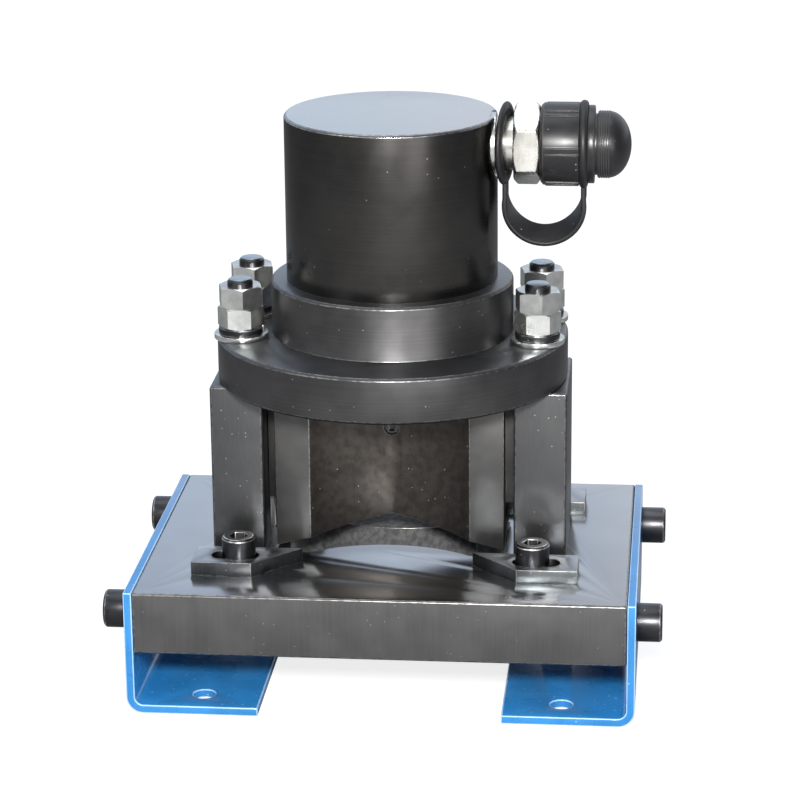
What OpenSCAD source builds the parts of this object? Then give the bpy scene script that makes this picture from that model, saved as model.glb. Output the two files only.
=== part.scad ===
// Hydraulic angle iron cutter: a short-stroke hydraulic ram on two columns drives a
// concave punch through a slotted base plate, between adjustable 45 degree fences.
// Millimetres, Z up. The origin is on the floor, under the axis of the ram.

/* [Base plate] */
// Width of the base plate, left to right
base_w = 230; // [215:1:280]
// Depth of the base plate, front to back
base_d = 170; // [155:1:220]
// Thickness of the base plate
base_t = 30; // [24:1:36]
// Bevel on the edges of the base plate
base_bevel = 0.8; // [0.3:0.1:2]

/* [Foot brackets] */
// Height of the brackets, and of the top of the base plate
bracket_h = 60; // [52:1:75]
// Thickness of the bracket sheet
bracket_t = 4; // [3:0.5:6]
// Width of the foot, outer face to inner edge
foot_w = 62; // [56:1:66]
// Inner radius of the bend
bend_r = 4; // [2:0.5:8]
// Diameter of the holes in the feet
foot_hole_d = 10.5; // [8:0.5:13]
// Distance from the outer face of a bracket to its foot holes
foot_hole_inset = 34.5; // [28:0.5:40]
// Distance between the front and rear foot holes
foot_hole_pitch = 139; // [110:1:145]

/* [Bracket bolts] */
// Thread diameter of the bracket bolts
side_bolt_d = 12; // [10:1:14]
// Head diameter of the bracket bolts
side_head_d = 18; // [16:0.5:22]
// Head height of the bracket bolts
side_head_h = 12; // [8:0.5:14]
// Width across flats of the bolts' sockets
side_socket_af = 10; // [6:1:12]
// Depth of the bolts' sockets
side_socket_deep = 6; // [4:0.5:7]
// Length of the bolts under the head
side_bolt_len = 30; // [20:1:40]
// Distance between the front and rear bracket bolts
side_bolt_pitch = 132; // [110:1:140]

/* [Columns] */
// Distance that the columns stand out past the sides of the flange
column_proud = 1; // [0:0.5:4]
// Width of a column, left to right
column_w = 25; // [24:1:28]
// Depth of a column, front to back
column_d = 60; // [56:1:66]
// Height of the columns
column_h = 84; // [80:1:95]
// Bevel on the edges of the columns
column_bevel = 0.8; // [0.3:0.1:2]
// Width of the guide groove in a column
groove_w = 20; // [14:0.5:22]
// Depth of the guide groove in a column
groove_deep = 4.6; // [3:0.1:5]
// Diameter of the locating dowels under the columns
dowel_d = 8; // [5:0.5:9]
// Length of the locating dowels
dowel_len = 24; // [14:1:34]
// Distance from a column's outer face to its dowel
dowel_inset = 8.5; // [7:0.5:10]

/* [Tie studs] */
// Thread diameter of the tie studs
stud_d = 12; // [10:0.5:12.5]
// Distance from the sides of the flange to the axes of the studs
stud_inset = 13.5; // [12:0.5:15]
// Distance between the front and rear studs
stud_pitch_y = 39; // [36:0.5:41]
// Depth of the stud thread in the base plate
stud_grip = 24; // [15:1:28]
// Height of the stud end above the upper nut
stud_proud = 3; // [1:0.5:6]
// Diameter of the flat washers
washer_d = 25.5; // [22:0.5:28]
// Thickness of the flat washers
washer_t = 2.5; // [1.5:0.5:4]
// Diameter of the spring washers
spring_washer_d = 21.2; // [18:0.2:24]
// Thickness of the spring washers
spring_washer_t = 3; // [2:0.5:4]
// Slit in the spring washers
spring_washer_slit = 1.5; // [0.8:0.1:3]
// Width across flats of the nuts
nut_af = 19; // [18:0.5:22]
// Height of one nut
nut_h = 10; // [8:0.5:13]
// Turn of the lower nuts, in degrees
lower_nut_turn = 4; // [0:1:60]
// Turn of the upper nuts, in degrees
upper_nut_turn = 44; // [0:1:60]

/* [Flange] */
// Diameter of the flange
flange_d = 167; // [160:1:180]
// Thickness of the flange
flange_t = 22; // [18:1:28]
// Diameter of the boss on the flange
boss_d = 115; // [108:1:116]
// Height of the boss above the flange
boss_h = 26; // [18:1:34]
// Thickness of the floor that carries the rod bush
gland_h = 24; // [20:1:28]
// Bevel on the rims of the flange and the boss
flange_bevel = 1.2; // [0.5:0.1:2.5]

/* [Cylinder barrel] */
// Outside diameter of the barrel
barrel_d = 100; // [96:1:106]
// Height of the barrel above the boss
barrel_h = 78.5; // [74:0.5:100]
// Diameter of the cylinder bore
bore_d = 70; // [66:1:74]
// Thickness of the closed end of the barrel
barrel_end_t = 24; // [22:1:30]
// Diameter of the threaded spigot
spigot_d = 88; // [84:1:90]
// Bevel on the top rim of the barrel
barrel_bevel = 1; // [0.5:0.1:3]
// Distance from the top of the barrel to the axis of the port
port_drop = 14; // [12:0.5:16]
// Diameter of the port thread
port_d = 16.6; // [13:0.2:19]
// Depth of the port thread from the spot face
port_deep = 12; // [9:0.5:14]
// Diameter of the oil passage
oil_hole_d = 6; // [4:0.5:8]
// Distance from the ram axis to the upright oil passage
oil_hole_x = 24; // [15:0.5:28]
// Diameter of the spot face under the seal
spot_face_d = 31; // [28:0.5:34]
// Distance from the ram axis to the spot face
spot_face_x = 47.2; // [46:0.1:47.4]

/* [Ram] */
// Stroke of the ram
stroke = 20; // [12:1:21]
// Diameter of the rod
rod_d = 38; // [34:1:40]
// Height of the piston
piston_h = 25; // [22:1:30]
// Room above the piston when it is up
piston_head_gap = 1.5; // [0.5:0.5:3]
// Diameter of the thread that joins rod and piston
rod_thread_d = 24; // [18:1:28]
// Width of the groove of the piston seal
seal_groove_h = 7.4; // [6:0.2:9]
// Depth of the groove of the piston seal
seal_groove_deep = 5; // [3:0.5:6]
// Height of the piston seal
seal_h = 5; // [4:0.5:6]
// Height of the backup ring
backup_h = 1.9; // [1:0.1:2.5]
// Height of the wear ring
wear_ring_h = 8; // [5:0.5:10]
// Thickness of the wear ring
wear_ring_t = 2.4; // [1.5:0.1:3]
// Land between the rings, and below them
piston_land = 2.5; // [1.5:0.1:3]
// Thickness of the O-ring between rod and piston
piston_o_ring_t = 2.4; // [1.5:0.1:3]
// Outside diameter of the rod bush
bush_d = 46; // [44:1:50]
// Height of the rod bush
bush_h = 16; // [10:1:18]
// Outside diameter of the rod wiper
wiper_d = 48; // [46:0.5:52]
// Height of the rod wiper
wiper_h = 5; // [3:0.5:6]
// Diameter of the spring seat
seat_d = 66; // [60:1:66]
// Thickness of the spring seat
seat_t = 2; // [1:0.5:3]
// Wire diameter of the return spring
spring_wire = 3.8; // [2.5:0.1:4]
// Mean diameter of the return spring
spring_d = 54; // [48:1:58]
// Number of turns of the return spring
spring_turns = 6; // [4:1:6]

/* [Punch] */
// Gap between the punch's shoulders and the columns
shoulder_gap = 5; // [3:0.5:8]
// Depth of the punch, front to back
punch_d = 48; // [44:1:54]
// Radius of the concave cutting faces
face_r = 64; // [58:1:90]
// Width of the flat shoulders beside the concave cutting faces
shoulder_w = 16.3; // [12:0.1:20]
// Height of the cutting edge above the base plate, at the centre
edge_rise_mid = 16.3; // [12:0.1:22]
// Height of the cutting edge above the base plate, at the shoulders' ends
edge_rise_end = 3.2; // [2:0.1:6]
// Gap between the top of the punch and the flange
punch_top_gap = 1; // [0.5:0.5:3]
// Depth of the wings that run between the columns, front to back
wing_d = 28; // [24:1:34]
// Gap left between the wings and the base plate at the end of the stroke
wing_gap = 4; // [2:0.5:8]
// Diameter of the rod spigot in the punch
nose_d = 14; // [10:0.5:15]
// Length of the rod spigot in the punch
nose_len = 31; // [26:1:40]
// Width of the groove in the rod spigot
nose_groove_w = 9; // [8.5:0.5:10]
// Depth of the groove in the rod spigot
nose_groove_deep = 1.2; // [0.5:0.1:2]
// Distance from the top of the punch to its lock screw
lock_drop = 23.5; // [18:0.5:25]
// Diameter of the lock screw
lock_d = 7; // [5:0.5:8]
// Distance from the punch's face back to the end of its lock screw
lock_sink = 0.8; // [0.3:0.1:1.5]
// Width across flats of the lock screw's socket
lock_socket_af = 4; // [2:0.5:4]
// Depth of the lock screw's socket
lock_socket_deep = 2.5; // [1:0.5:3]

/* [Fences] */
// Thickness of the fences
fence_t = 6.5; // [5:0.5:9]
// Depth of a fence, front to back, and run of its 45 degree edge
fence_d = 22; // [19:0.5:24]
// Distance from the centre line to a fence's tip
fence_tip_x = 40.5; // [36:0.5:44]
// Distance from the centre line to a fence's outer end
fence_end_x = 91; // [86:0.5:94]
// Distance from the centre plane to a fence's near edge
fence_y = 37; // [35:0.5:44]
// Length of the slot in a fence
slot_len = 22.6; // [19:0.2:24]
// Distance from the centre line to the middle of the slot
slot_x = 71.3; // [69:0.1:73]
// Distance from the centre line to the fence screws
fence_screw_x = 69.5; // [67:0.5:72]
// Thread diameter of the fence screws
fence_screw_d = 10; // [8:0.5:10.5]
// Head diameter of the fence screws
fence_head_d = 16; // [14:0.5:17]
// Head height of the fence screws
fence_head_h = 10; // [6:0.5:12]
// Width across flats of the fence screws' sockets
fence_socket_af = 8; // [5:1:9]
// Depth of the fence screws' sockets
fence_socket_deep = 5; // [3:0.5:6]
// Depth of the fence screws' thread in the base plate
fence_screw_grip = 18; // [10:1:24]

/* [Coupler] */
// Outside diameter of the bonded seal
seal_washer_d = 29; // [26:0.5:30]
// Thickness of the bonded seal
seal_washer_t = 2.2; // [1.5:0.1:3]
// Diameter of the coupler's neck
neck_d = 25; // [22:0.5:26]
// Length of the coupler's neck
neck_len = 8.6; // [7:0.2:12]
// Width across flats of the coupler's hexagon
hex_af = 34; // [30:0.5:36]
// Length of the coupler's hexagon
hex_len = 12; // [8:0.5:16]
// Diameter of the coupler's threaded end
tail_d = 30; // [27:0.5:31]
// Length of the coupler's threaded end
tail_len = 15; // [12:0.5:16]
// Diameter of the coupler's nose
coupler_nose_d = 22; // [19:0.5:23]
// Length of the coupler's nose
coupler_nose_len = 5; // [3:0.5:6]
// Diameter of the poppet's chamber
chamber_d = 13; // [11:0.5:15]
// Thickness of the seat at the coupler's mouth
mouth_t = 3; // [2:0.5:4]
// Diameter of the coupler's mouth
mouth_d = 9; // [7:0.5:10]
// Travel of the poppet
poppet_travel = 3; // [2:0.5:4]
// Diameter of the poppet's stem
poppet_stem_d = 7; // [5:0.5:8]
// Length of the poppet's guided head
poppet_head_len = 7; // [5:0.5:9]
// Wire diameter of the poppet spring
poppet_wire = 1.2; // [0.8:0.1:1.2]
// Number of turns of the poppet spring
poppet_turns = 6; // [4:1:6]
// Length of the poppet spring when the valve is open
poppet_spring_short = 13.3; // [9:0.1:15]

/* [Dust cap] */
// Outside diameter of the cap's skirt
cap_d = 38.4; // [36:0.2:42]
// Length of the cap's skirt
skirt_len = 18; // [16:0.5:22]
// Bevel at the mouth of the skirt
cap_bevel = 1.4; // [0.5:0.1:2]
// Number of pairs of ribs on the skirt
rib_pairs = 6; // [4:1:8]
// Width of one rib
rib_w = 1.3; // [0.8:0.1:2]
// Height of the ribs
rib_h = 0.7; // [0.4:0.1:1.2]
// Length of the plain stretch at the mouth of the skirt
rib_start = 2.4; // [1.5:0.1:4]
// Gap between the two ribs of a pair
rib_gap = 1.7; // [1:0.1:3]
// Width of the groove that holds the strap
strap_groove_w = 4; // [3:0.2:6]
// Depth of the groove that holds the strap
strap_groove_deep = 2; // [1:0.1:3]
// Diameter of the collar behind the groove
collar_d = 36.4; // [34:0.2:40]
// Length of the collar
collar_len = 3; // [2:0.5:5]
// Diameter of the waist
waist_d = 28.6; // [26:0.2:30]
// Length of the waist
waist_len = 1.4; // [1:0.1:3]
// Diameter of the domed end
dome_d = 31; // [29:0.2:34]
// Length of the straight part of the domed end
dome_wall_len = 5; // [3:0.5:8]
// Length of the dome
dome_len = 10.6; // [8:0.2:14]
// Inside diameter of the deep part of the cap
cap_inner_d = 24; // [23:0.5:25]
// Depth of the deep part of the cap
cap_inner_len = 14; // [6:0.5:15]

/* [Cap strap] */
// Outside diameter of the ring round the neck
root_ring_d = 39; // [36:0.5:40]
// Inside diameter of the ring round the neck
root_ring_bore = 28; // [27:0.5:30]
// Thickness of the ring round the neck
root_ring_t = 2.6; // [1.5:0.1:3]
// Turn of the ring about the upright, in degrees
root_ring_turn = 7; // [0:1:8]
// Outside diameter of the ring on the cap
cap_ring_d = 41; // [39:0.2:44]
// Width of the strap
strap_w = 12; // [8:0.5:14]
// Thickness of the strap
strap_t = 2.4; // [1.5:0.1:3]
// Length of the straight ends of the strap's loop
strap_run = 11; // [6:1:18]
// Lean of the strap at the bottom of its loop, in degrees
strap_lean = 40; // [0:1:50]

/* [Hidden] */
$fn = 96;

// Overrun of every cut past the face that it opens
over = 1;
// Radial clearance of screws, pins and rings that sit still
fit = 0.1;
// Radial clearance of parts that slide in a round bore
run = 0.05;
// Clearance of the punch to its guides and to the die opening
slide_gap = 0.3;
// Clearance of the studs in the flange and the columns
stud_gap = 0.4;
// Clearance between parts that move past each other or lie loose
loose = 0.3;
// Bevel on nuts, studs and screw heads
small_bevel = 1;
// Depth of the blunt cone at the bottom of a thread hole
drill_rest = 1;
// Sides of one turn of a spring, and round its wire
ring_steps = 8;
wire_sides = 6;
// Steps along the strap's loop
strap_steps = 20;

top_z = bracket_h;
base_z = top_z - base_t;
bolt_z = base_z + base_t / 2;
flange_z = top_z + column_h;
flange_top = flange_z + flange_t;
boss_top = flange_top + boss_h;
floor_top = flange_z + gland_h;
barrel_top = boss_top + barrel_h;
bore_top = barrel_top - barrel_end_t;
port_z = barrel_top - port_drop;
column_out = flange_d / 2 + column_proud;
column_in = column_out - column_w;
column_mid = column_in + column_w / 2;
stud_x = flange_d / 2 - stud_inset;
stud_y = stud_pitch_y / 2;
washer_top = flange_top + washer_t;
spring_washer_top = washer_top + spring_washer_t;
stud_top = spring_washer_top + 2 * nut_h + stud_proud;
seat_top = floor_top + seat_t;
piston_top = bore_top - piston_head_gap;
piston_z = piston_top - piston_h;
wear_z = piston_z + piston_land;
seal_z = wear_z + wear_ring_h + piston_land;
punch_w = 2 * (column_in - shoulder_gap);
face_w = punch_w - 2 * shoulder_w;
punch_top = flange_z - punch_top_gap;
edge_mid_z = top_z + edge_rise_mid;
edge_end_z = top_z + edge_rise_end;
wing_z = top_z + stroke + wing_gap;
lock_z = punch_top - lock_drop;
face_mid = sqrt(face_r * face_r - face_w * face_w / 4);
face_back = punch_d / 2 + face_mid - face_r;
lock_tip = nose_d / 2 - nose_groove_deep + fit;
lock_len = face_back - lock_sink - lock_tip;
fence_mid_y = fence_y + fence_d / 2;
fence_top = top_z + fence_t;
slot_w = fence_screw_d + 2 * loose;
bracket_x = base_w / 2;
seal_x = spot_face_x + seal_washer_t;
hex_x = seal_x + neck_len;
tail_x = hex_x + hex_len;
coupler_nose_x = tail_x + tail_len;
coupler_end = coupler_nose_x + coupler_nose_len;
chamber_end = coupler_end - mouth_t;
poppet_x = chamber_end - fit - poppet_head_len;
chamber_x = poppet_x - 2 * fit - poppet_travel - poppet_spring_short;
cap_x = tail_x + loose;
groove_x = cap_x + skirt_len;
collar_x = groove_x + strap_groove_w;
waist_x = collar_x + collar_len;
dome_x = waist_x + waist_len;
dome_turn = dome_x + dome_wall_len;
root_ring_x = seal_x + neck_len / 2;
cap_ring_x = groove_x + strap_groove_w / 2;
loop_r = (cap_ring_x - root_ring_x) / 2;
loop_x = (cap_ring_x + root_ring_x) / 2;
loop_top = port_z - cap_ring_d / 2 + strap_t;
loop_z = loop_top - strap_run;

// A block with bevelled edges, centred in X and Y, standing on z
module block(w, d, h, bevel) {
  intersection() {
    linear_extrude(h) bevelled(w, d, bevel);
    translate([0, d / 2, h / 2]) rotate([90, 0, 0]) linear_extrude(d) bevelled(w, h, bevel);
    translate([-w / 2, 0, h / 2]) rotate([90, 0, 90]) linear_extrude(w) bevelled(d, h, bevel);
  }
}

// A centred rectangle with its corners cut
module bevelled(a, b, bevel) {
  x = a / 2;
  y = b / 2;
  polygon([
    [bevel - x, -y], [x - bevel, -y], [x, bevel - y], [x, y - bevel],
    [x - bevel, y], [bevel - x, y], [-x, y - bevel], [-x, bevel - y]
  ]);
}

// A hexagonal prism by its width across flats, with its corners bevelled
module hex_nut(af, h, bore) {
  across = af / cos(30);
  intersection() {
    cylinder(d = across, h = h, $fn = 6);
    rotate_extrude() polygon([
      [bore / 2, 0], [af / 2, 0], [across / 2, (across - af) / 2 * tan(30)],
      [across / 2, h - (across - af) / 2 * tan(30)], [af / 2, h], [bore / 2, h]
    ]);
  }
}

// A ring that stands on z = 0
module ring(outer, inner, h) {
  rotate_extrude() translate([inner / 2, 0]) square([(outer - inner) / 2, h]);
}

// A socket-head screw: its head stands on z = 0, and its shank hangs down
module socket_screw(d, head_d, head_h, len, af, deep) {
  difference() {
    union() {
      rotate_extrude() polygon([
        [0, 0], [head_d / 2, 0], [head_d / 2, head_h - small_bevel],
        [head_d / 2 - small_bevel, head_h], [0, head_h]
      ]);
      rotate([180, 0, 0]) rotate_extrude() polygon([
        [0, 0], [d / 2, 0], [d / 2, len - small_bevel], [d / 2 - small_bevel, len], [0, len]
      ]);
    }
    translate([0, 0, head_h - deep]) cylinder(d = af / cos(30), h = deep + over, $fn = 6);
  }
}

// The plan of the punch, grown by a clearance
module punch_plan(grow) {
  difference() {
    square([punch_w + 2 * grow, punch_d + 2 * grow], center = true);
    for (s = [-1, 1]) translate([0, s * (punch_d / 2 + face_mid)]) circle(r = face_r - grow, $fn = 180);
  }
}

// A tube along a helix, with flat ends
module coil(mean_d, wire, turns, height) {
  steps = turns * ring_steps;
  rise = height - wire;
  rings = [for (i = [0:steps]) let (a = 360 * i / ring_steps)
    [for (k = [0:wire_sides - 1]) let (b = 360 * k / wire_sides, r = mean_d / 2 + wire / 2 * cos(b))
      [r * cos(a), r * sin(a), wire / 2 + rise * i / steps + wire / 2 * sin(b)]]];
  points = [for (ring = rings) for (p = ring) p];
  sides = [for (i = [0:steps - 1]) for (k = [0:wire_sides - 1])
    let (a = i * wire_sides + k, b = i * wire_sides + (k + 1) % wire_sides)
      for (t = [[a, b, b + wire_sides], [a, b + wire_sides, a + wire_sides]]) t];
  last = steps * wire_sides;
  ends = [for (k = [1:wire_sides - 2]) for (t = [[0, k + 1, k], [last, last + k, last + k + 1]]) t];
  polyhedron(points, concat(sides, ends));
}

module at_studs() {
  for (sx = [-1, 1]) for (sy = [-1, 1]) translate([sx * stud_x, sy * stud_y, 0]) children();
}

module at_fence_screws() {
  for (sx = [-1, 1]) for (sy = [-1, 1]) translate([sx * fence_screw_x, sy * fence_mid_y, 0]) children();
}

module at_dowels() {
  for (sx = [-1, 1]) translate([sx * (column_out - dowel_inset), 0, 0]) children();
}

// The four bracket bolt axes, pointing out of the base plate
module at_side_bolts(sides = [-1, 1]) {
  for (sx = sides) for (sy = [-1, 1])
    translate([sx * bracket_x, sy * side_bolt_pitch / 2, bolt_z]) rotate([0, sx * 90, 0]) children();
}

module base_plate() {
  grip = side_bolt_len - bracket_t;
  color([0.16, 0.15, 0.15]) difference() {
    translate([0, 0, base_z]) block(base_w, base_d, base_t, base_bevel);
    translate([0, 0, base_z - over]) linear_extrude(base_t + 2 * over) punch_plan(slide_gap);
    at_studs() translate([0, 0, top_z - stud_grip - drill_rest])
      cylinder(d = stud_d + 2 * fit, h = stud_grip + drill_rest + over);
    at_dowels() translate([0, 0, top_z - dowel_len / 2 - drill_rest])
      cylinder(d = dowel_d + 2 * fit, h = dowel_len / 2 + drill_rest + over);
    at_fence_screws() translate([0, 0, top_z - fence_screw_grip - drill_rest])
      cylinder(d = fence_screw_d + 2 * fit, h = fence_screw_grip + drill_rest + over);
    at_side_bolts() translate([0, 0, -grip - drill_rest])
      cylinder(d = side_bolt_d + 2 * fit, h = grip + drill_rest + over);
  }
}

// One foot bracket, on the +X side: an angle of sheet with its foot turned inwards
module bracket(side) {
  outer_r = bend_r + bracket_t;
  hole_x = bracket_x + bracket_t - foot_hole_inset;
  difference() {
    scale([side, 1, 1]) translate([bracket_x + bracket_t, base_d / 2, 0]) rotate([90, 0, 0])
      linear_extrude(base_d) difference() {
        union() {
          translate([-foot_w, 0]) square([foot_w - outer_r, bracket_t]);
          translate([-bracket_t, outer_r]) square([bracket_t, bracket_h - outer_r]);
          translate([-outer_r, outer_r]) intersection() {
            circle(r = outer_r);
            translate([0, -outer_r]) square(outer_r);
          }
        }
        translate([-outer_r, outer_r]) circle(r = bend_r);
      }
    for (sy = [-1, 1]) translate([side * hole_x, sy * foot_hole_pitch / 2, -over])
      cylinder(d = foot_hole_d, h = bracket_t + 2 * over);
    at_side_bolts([side]) translate([0, 0, -over])
      cylinder(d = side_bolt_d + 2 * loose, h = bracket_t + 2 * over);
  }
}

module left_bracket() { color([0.05, 0.42, 0.78]) bracket(-1); }
module right_bracket() { color([0.05, 0.42, 0.78]) bracket(1); }

module bracket_bolts() {
  color([0.12, 0.11, 0.11]) at_side_bolts() translate([0, 0, bracket_t])
    socket_screw(side_bolt_d, side_head_d, side_head_h, side_bolt_len, side_socket_af, side_socket_deep);
}

// One column, on the +X side, with the guide groove in its inner face
module column(side) {
  difference() {
    translate([side * column_mid, 0, top_z]) block(column_w, column_d, column_h, column_bevel);
    translate([side * (column_in + (groove_deep - over) / 2), 0, top_z + column_h / 2])
      cube([groove_deep + over, groove_w, column_h + 2 * over], center = true);
    at_studs() translate([0, 0, top_z - over]) cylinder(d = stud_d + 2 * stud_gap, h = column_h + 2 * over);
    at_dowels() translate([0, 0, top_z - over])
      cylinder(d = dowel_d + 2 * fit, h = dowel_len / 2 + drill_rest + over);
  }
}

module left_column() { color([0.2, 0.2, 0.2]) column(-1); }
module right_column() { color([0.2, 0.2, 0.2]) column(1); }

module column_dowels() {
  color("silver") at_dowels() translate([0, 0, top_z - dowel_len / 2]) cylinder(d = dowel_d, h = dowel_len);
}

module tie_studs() {
  len = stud_top - top_z + stud_grip;
  color([0.1, 0.1, 0.1]) at_studs() translate([0, 0, top_z - stud_grip]) rotate_extrude() polygon([
    [0, 0], [stud_d / 2 - small_bevel, 0], [stud_d / 2, small_bevel], [stud_d / 2, len - small_bevel],
    [stud_d / 2 - small_bevel, len], [0, len]
  ]);
}

module flat_washers() {
  color([0.8, 0.8, 0.78]) at_studs() translate([0, 0, flange_top])
    ring(washer_d, stud_d + 2 * stud_gap, washer_t);
}

module spring_washers() {
  color([0.12, 0.12, 0.12]) at_studs() translate([0, 0, washer_top]) difference() {
    ring(spring_washer_d, stud_d + 2 * fit, spring_washer_t);
    translate([0, -spring_washer_slit / 2, -over])
      cube([spring_washer_d, spring_washer_slit, spring_washer_t + 2 * over]);
  }
}

// Four nuts; the two layers stand a little turned from each other
module nuts(z, turn) {
  color([0.82, 0.81, 0.76]) at_studs() translate([0, 0, z]) rotate([0, 0, turn])
    hex_nut(nut_af, nut_h, stud_d + 2 * fit);
}

module lower_nuts() { nuts(spring_washer_top, lower_nut_turn); }
module upper_nuts() { nuts(spring_washer_top + nut_h, upper_nut_turn); }

module flange() {
  r = flange_d / 2;
  b = flange_bevel;
  thread_r = spigot_d / 2 + fit;
  bush_r = bush_d / 2 + fit;
  color([0.13, 0.13, 0.13]) difference() {
    rotate_extrude($fn = 180) polygon([
      [wiper_d / 2 + fit, flange_z], [r - b, flange_z], [r, flange_z + b], [r, flange_top - b],
      [r - b, flange_top], [boss_d / 2, flange_top], [boss_d / 2, boss_top - b],
      [boss_d / 2 - b, boss_top], [thread_r, boss_top], [thread_r, floor_top],
      [bush_r, floor_top], [bush_r, floor_top - bush_h], [rod_d / 2 + loose, floor_top - bush_h],
      [rod_d / 2 + loose, flange_z + wiper_h], [wiper_d / 2 + fit, flange_z + wiper_h]
    ]);
    at_studs() translate([0, 0, flange_z - over])
      cylinder(d = stud_d + 2 * stud_gap, h = flange_t + 2 * over);
  }
}

module barrel() {
  r = barrel_d / 2;
  spigot_z = floor_top + loose;
  color([0.08, 0.08, 0.09]) difference() {
    rotate_extrude($fn = 180) polygon([
      [bore_d / 2, spigot_z], [spigot_d / 2, spigot_z], [spigot_d / 2, boss_top], [r, boss_top],
      [r, barrel_top - barrel_bevel], [r - barrel_bevel, barrel_top], [0, barrel_top],
      [0, bore_top], [bore_d / 2, bore_top]
    ]);
    translate([spot_face_x, 0, port_z]) rotate([0, 90, 0]) cylinder(d = spot_face_d, h = r);
    translate([spot_face_x - port_deep, 0, port_z]) rotate([0, 90, 0])
      cylinder(d = port_d + 2 * fit, h = r);
    translate([oil_hole_x, 0, port_z]) rotate([0, 90, 0]) cylinder(d = oil_hole_d, h = r - oil_hole_x);
    translate([oil_hole_x, 0, bore_top - over]) cylinder(d = oil_hole_d, h = port_z - bore_top + over);
  }
}

module rod_bush() {
  color([0.72, 0.5, 0.25]) translate([0, 0, floor_top - bush_h]) ring(bush_d, rod_d + 2 * run, bush_h);
}

module rod_wiper() {
  color([0.1, 0.1, 0.1]) translate([0, 0, flange_z]) ring(wiper_d, rod_d + 2 * run, wiper_h - fit);
}

module spring_seat() {
  color("silver") translate([0, 0, floor_top]) ring(seat_d, rod_d + 2 * loose, seat_t);
}

module return_spring() {
  color([0.5, 0.5, 0.52]) translate([0, 0, seat_top + fit])
    coil(spring_d, spring_wire, spring_turns, piston_z - seat_top - 2 * fit);
}

// Piston with its grooves, threaded on the rod
module piston() {
  r = bore_d / 2 - run - fit;
  groove_r = r - seal_groove_deep;
  ring_r = r - wear_ring_t;
  thread_r = rod_thread_d / 2 + fit;
  o_ring_r = thread_r + piston_o_ring_t;
  color("silver") rotate_extrude() polygon([
    [thread_r, piston_z], [r, piston_z], [r, wear_z], [ring_r, wear_z], [ring_r, wear_z + wear_ring_h],
    [r, wear_z + wear_ring_h], [r, seal_z], [groove_r, seal_z], [groove_r, seal_z + seal_groove_h],
    [r, seal_z + seal_groove_h], [r, piston_top], [o_ring_r, piston_top],
    [o_ring_r, piston_top - piston_o_ring_t], [thread_r, piston_top - piston_o_ring_t]
  ]);
}

// U-section seal, open towards the oil
module piston_seal() {
  outer = bore_d / 2 - run;
  inner = bore_d / 2 - seal_groove_deep - run;
  lip = (outer - inner) / 3;
  z = seal_z + backup_h + fit;
  color([0.1, 0.35, 0.2]) rotate_extrude() polygon([
    [inner, z], [outer, z], [outer, z + seal_h], [outer - lip, z + seal_h],
    [(outer + inner) / 2, z + seal_h / 2], [inner + lip, z + seal_h], [inner, z + seal_h]
  ]);
}

module backup_ring() {
  color([0.85, 0.85, 0.8]) translate([0, 0, seal_z])
    ring(bore_d - 2 * run, bore_d - 2 * seal_groove_deep - 2 * run, backup_h);
}

module wear_ring() {
  color([0.55, 0.4, 0.25]) translate([0, 0, wear_z])
    ring(bore_d - 2 * run, bore_d - 2 * wear_ring_t - 2 * run, wear_ring_h);
}

module piston_o_ring() {
  color([0.1, 0.1, 0.1]) translate([0, 0, piston_top - piston_o_ring_t / 2])
    rotate_extrude() translate([rod_thread_d / 2 + fit + piston_o_ring_t / 2, 0])
      circle(d = piston_o_ring_t - fit, $fn = 24);
}

module rod() {
  r = rod_d / 2;
  nose = nose_d / 2;
  color("silver") rotate_extrude() polygon([
    [0, punch_top - nose_len], [nose - small_bevel, punch_top - nose_len],
    [nose, punch_top - nose_len + small_bevel], [nose, lock_z - nose_groove_w / 2],
    [nose - nose_groove_deep, lock_z - nose_groove_w / 2],
    [nose - nose_groove_deep, lock_z + nose_groove_w / 2],
    [nose, lock_z + nose_groove_w / 2], [nose, punch_top], [r, punch_top], [r, piston_z],
    [rod_thread_d / 2, piston_z], [rod_thread_d / 2, piston_top], [0, piston_top]
  ]);
}

// The moving blade: concave front and back, a roof-shaped underside, wings and keys at its sides
module punch() {
  wing_w = 2 * (column_in - slide_gap);
  key_w = wing_w + 2 * groove_deep;
  color([0.35, 0.32, 0.3]) difference() {
    union() {
      intersection() {
        translate([0, 0, edge_end_z]) linear_extrude(punch_top - edge_end_z) punch_plan(0);
        translate([0, punch_d / 2 + over, 0]) rotate([90, 0, 0]) linear_extrude(punch_d + 2 * over)
          polygon([
            [-punch_w / 2, edge_end_z], [0, edge_mid_z], [punch_w / 2, edge_end_z],
            [punch_w / 2, punch_top], [-punch_w / 2, punch_top]
          ]);
      }
      for (s = [-1, 1]) {
        translate([s * (punch_w + wing_w) / 4, 0, (wing_z + punch_top) / 2])
          cube([(wing_w - punch_w) / 2, wing_d, punch_top - wing_z], center = true);
        translate([s * (punch_w + key_w) / 4, 0, (wing_z + punch_top) / 2])
          cube([(key_w - punch_w) / 2, groove_w - 2 * slide_gap, punch_top - wing_z], center = true);
      }
    }
    translate([0, 0, punch_top - nose_len - drill_rest])
      cylinder(d = nose_d + 2 * fit, h = nose_len + drill_rest + over);
    translate([0, 0, lock_z]) rotate([90, 0, 0]) cylinder(d = lock_d + 2 * fit, h = punch_d);
  }
}

module punch_lock_screw() {
  color([0.1, 0.1, 0.1]) translate([0, -lock_tip, lock_z]) rotate([90, 0, 0]) difference() {
    cylinder(d = lock_d, h = lock_len);
    translate([0, 0, lock_len - lock_socket_deep])
      cylinder(d = lock_socket_af / cos(30), h = lock_socket_deep + over, $fn = 6);
  }
}

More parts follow.
